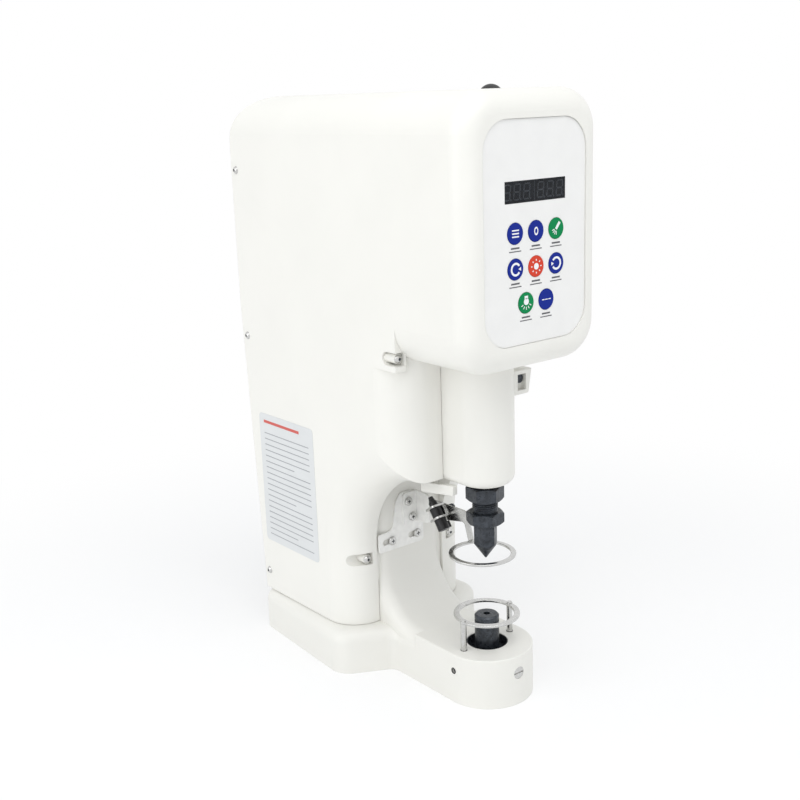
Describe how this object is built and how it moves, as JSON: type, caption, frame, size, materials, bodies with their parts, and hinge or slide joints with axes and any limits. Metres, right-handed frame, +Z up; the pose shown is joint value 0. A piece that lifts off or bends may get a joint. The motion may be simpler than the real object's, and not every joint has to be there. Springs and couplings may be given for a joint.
{
  "type": "eyelet machine",
  "caption": "Electric eyelet and snap-button press: a C-frame under a moulded hood, keypad, screw-driven ram, punch, die, ring guards and a laser pointer.",
  "frame": {"origin": "on the bench, below the axis of the ram and the die", "axes": "+Z up along the ram's axis, +Y from the keypad to the rear cover, +X to the right of someone who faces the keypad"},
  "size_m": [0.197, 0.374, 0.6042],
  "materials": {
    "casting": "satin",
    "hood_shell": "satin",
    "sheet_steel": "satin",
    "bright_steel": "polished",
    "pale_steel": "satin",
    "panel_plate": "satin",
    "smoked_window": "gloss",
    "black_plastic": "satin",
    "circuit_board": "satin",
    "blue_key": "satin",
    "green_key": "satin",
    "red_key": "satin",
    "housing_iron": "satin",
    "black_oxide": "satin",
    "bronze": "satin",
    "machined_steel": "satin",
    "aluminium": "satin",
    "motor_paint": "satin",
    "laser_body": "satin",
    "lamp_body": "satin",
    "clear_lens": "gloss"
  },
  "bodies": {
    "base": {"frame_casting": "casting", "hood": "hood_shell", "rear_cover": "sheet_steel", "hood_side_screws": "bright_steel", "hood_front_screws": "bright_steel", "control_panel": "panel_plate", "display_window": "smoked_window", "display_module": "black_plastic", "control_board": "circuit_board", "key_switches": "black_plastic", "board_standoffs": "machined_steel", "ram_housing": "housing_iron", "housing_screws": "black_oxide", "ram_bush": "bronze", "ram_key": "machined_steel", "bearing_block": "machined_steel", "screw_bearing": "machined_steel", "motor_bracket": "aluminium", "motor_body": "motor_paint", "motor_screws": "black_oxide", "lower_die": "black_oxide", "die_set_screw": "black_oxide", "nose_plug": "bright_steel", "lower_guard_ring": "bright_steel", "guard_posts": "bright_steel", "bracket_screws": "bright_steel", "lamp_housing": "lamp_body", "lamp_lens": "clear_lens", "lamp_screw": "bright_steel", "top_plug": "black_plastic", "drive_unit": "sheet_steel", "power_inlet": "black_plastic", "power_switch": "black_plastic", "pedal_socket": "black_plastic"},
    "ram": {"ram": "machined_steel", "ball_nut": "machined_steel", "die_stud": "black_oxide", "upper_lock_nut": "black_oxide", "lower_lock_nut": "black_oxide", "upper_punch": "black_oxide"},
    "spindle": {"ball_screw": "machined_steel", "shaft_coupling": "aluminium", "motor_rotor": "machined_steel"},
    "bracket": {"bracket_plate": "pale_steel", "bracket_joint_screws": "bright_steel", "laser_bracket": "pale_steel", "upper_guard": "bright_steel"},
    "laser": {"laser_clamp": "bright_steel", "laser_module": "laser_body"},
    "thumb_screw": {"clamp_screw": "black_oxide"},
    "rocker": {"switch_rocker": "black_plastic"},
    "key_1": {"key_1": "blue_key"},
    "key_2": {"key_2": "blue_key"},
    "key_3": {"key_3": "green_key"},
    "key_4": {"key_4": "blue_key"},
    "key_5": {"key_5": "red_key"},
    "key_6": {"key_6": "blue_key"},
    "key_7": {"key_7": "green_key"},
    "key_8": {"key_8": "blue_key"}
  },
  "joints": [
    {"name": "ram_slide", "type": "slide", "parent": "base", "child": "ram", "axis": [0, 0, -1], "range_m": [0, 0.055]},
    {"name": "screw_spin", "type": "hinge", "parent": "base", "child": "spindle", "pos_m": [0, 0, 0.4], "axis": [0, 0, 1], "range_deg": [0, 1980]},
    {"name": "bracket_slide", "type": "slide", "parent": "base", "child": "bracket", "axis": [1, 0, 0], "range_m": [-0.0015, 0.009]},
    {"name": "laser_tilt", "type": "hinge", "parent": "bracket", "child": "laser", "pos_m": [0.008, 0.0738, 0.1722], "axis": [1, 0, 0], "range_deg": [-15, 15]},
    {"name": "thumb_screw_turn", "type": "hinge", "parent": "laser", "child": "thumb_screw", "pos_m": [0.0158, 0.0738, 0.1722], "axis": [1, 0, 0], "continuous": true},
    {"name": "rocker_tilt", "type": "hinge", "parent": "base", "child": "rocker", "pos_m": [-0.004, 0.28694, 0.105], "axis": [1, 0, 0], "range_deg": [-8, 8]},
    {"name": "key_1_press", "type": "slide", "parent": "base", "child": "key_1", "axis": [0, 1, 0], "range_m": [0, 0.0005], "stiffness_N_per_m": 1500},
    {"name": "key_2_press", "type": "slide", "parent": "base", "child": "key_2", "axis": [0, 1, 0], "range_m": [0, 0.0005], "stiffness_N_per_m": 1500},
    {"name": "key_3_press", "type": "slide", "parent": "base", "child": "key_3", "axis": [0, 1, 0], "range_m": [0, 0.0005], "stiffness_N_per_m": 1500},
    {"name": "key_4_press", "type": "slide", "parent": "base", "child": "key_4", "axis": [0, 1, 0], "range_m": [0, 0.0005], "stiffness_N_per_m": 1500},
    {"name": "key_5_press", "type": "slide", "parent": "base", "child": "key_5", "axis": [0, 1, 0], "range_m": [0, 0.0005], "stiffness_N_per_m": 1500},
    {"name": "key_6_press", "type": "slide", "parent": "base", "child": "key_6", "axis": [0, 1, 0], "range_m": [0, 0.0005], "stiffness_N_per_m": 1500},
    {"name": "key_7_press", "type": "slide", "parent": "base", "child": "key_7", "axis": [0, 1, 0], "range_m": [0, 0.0005], "stiffness_N_per_m": 1500},
    {"name": "key_8_press", "type": "slide", "parent": "base", "child": "key_8", "axis": [0, 1, 0], "range_m": [0, 0.0005], "stiffness_N_per_m": 1500}
  ],
  "couplings": [
    {"joint": "screw_spin", "follows": "ram_slide", "rad_per_m": 628.32}
  ]
}
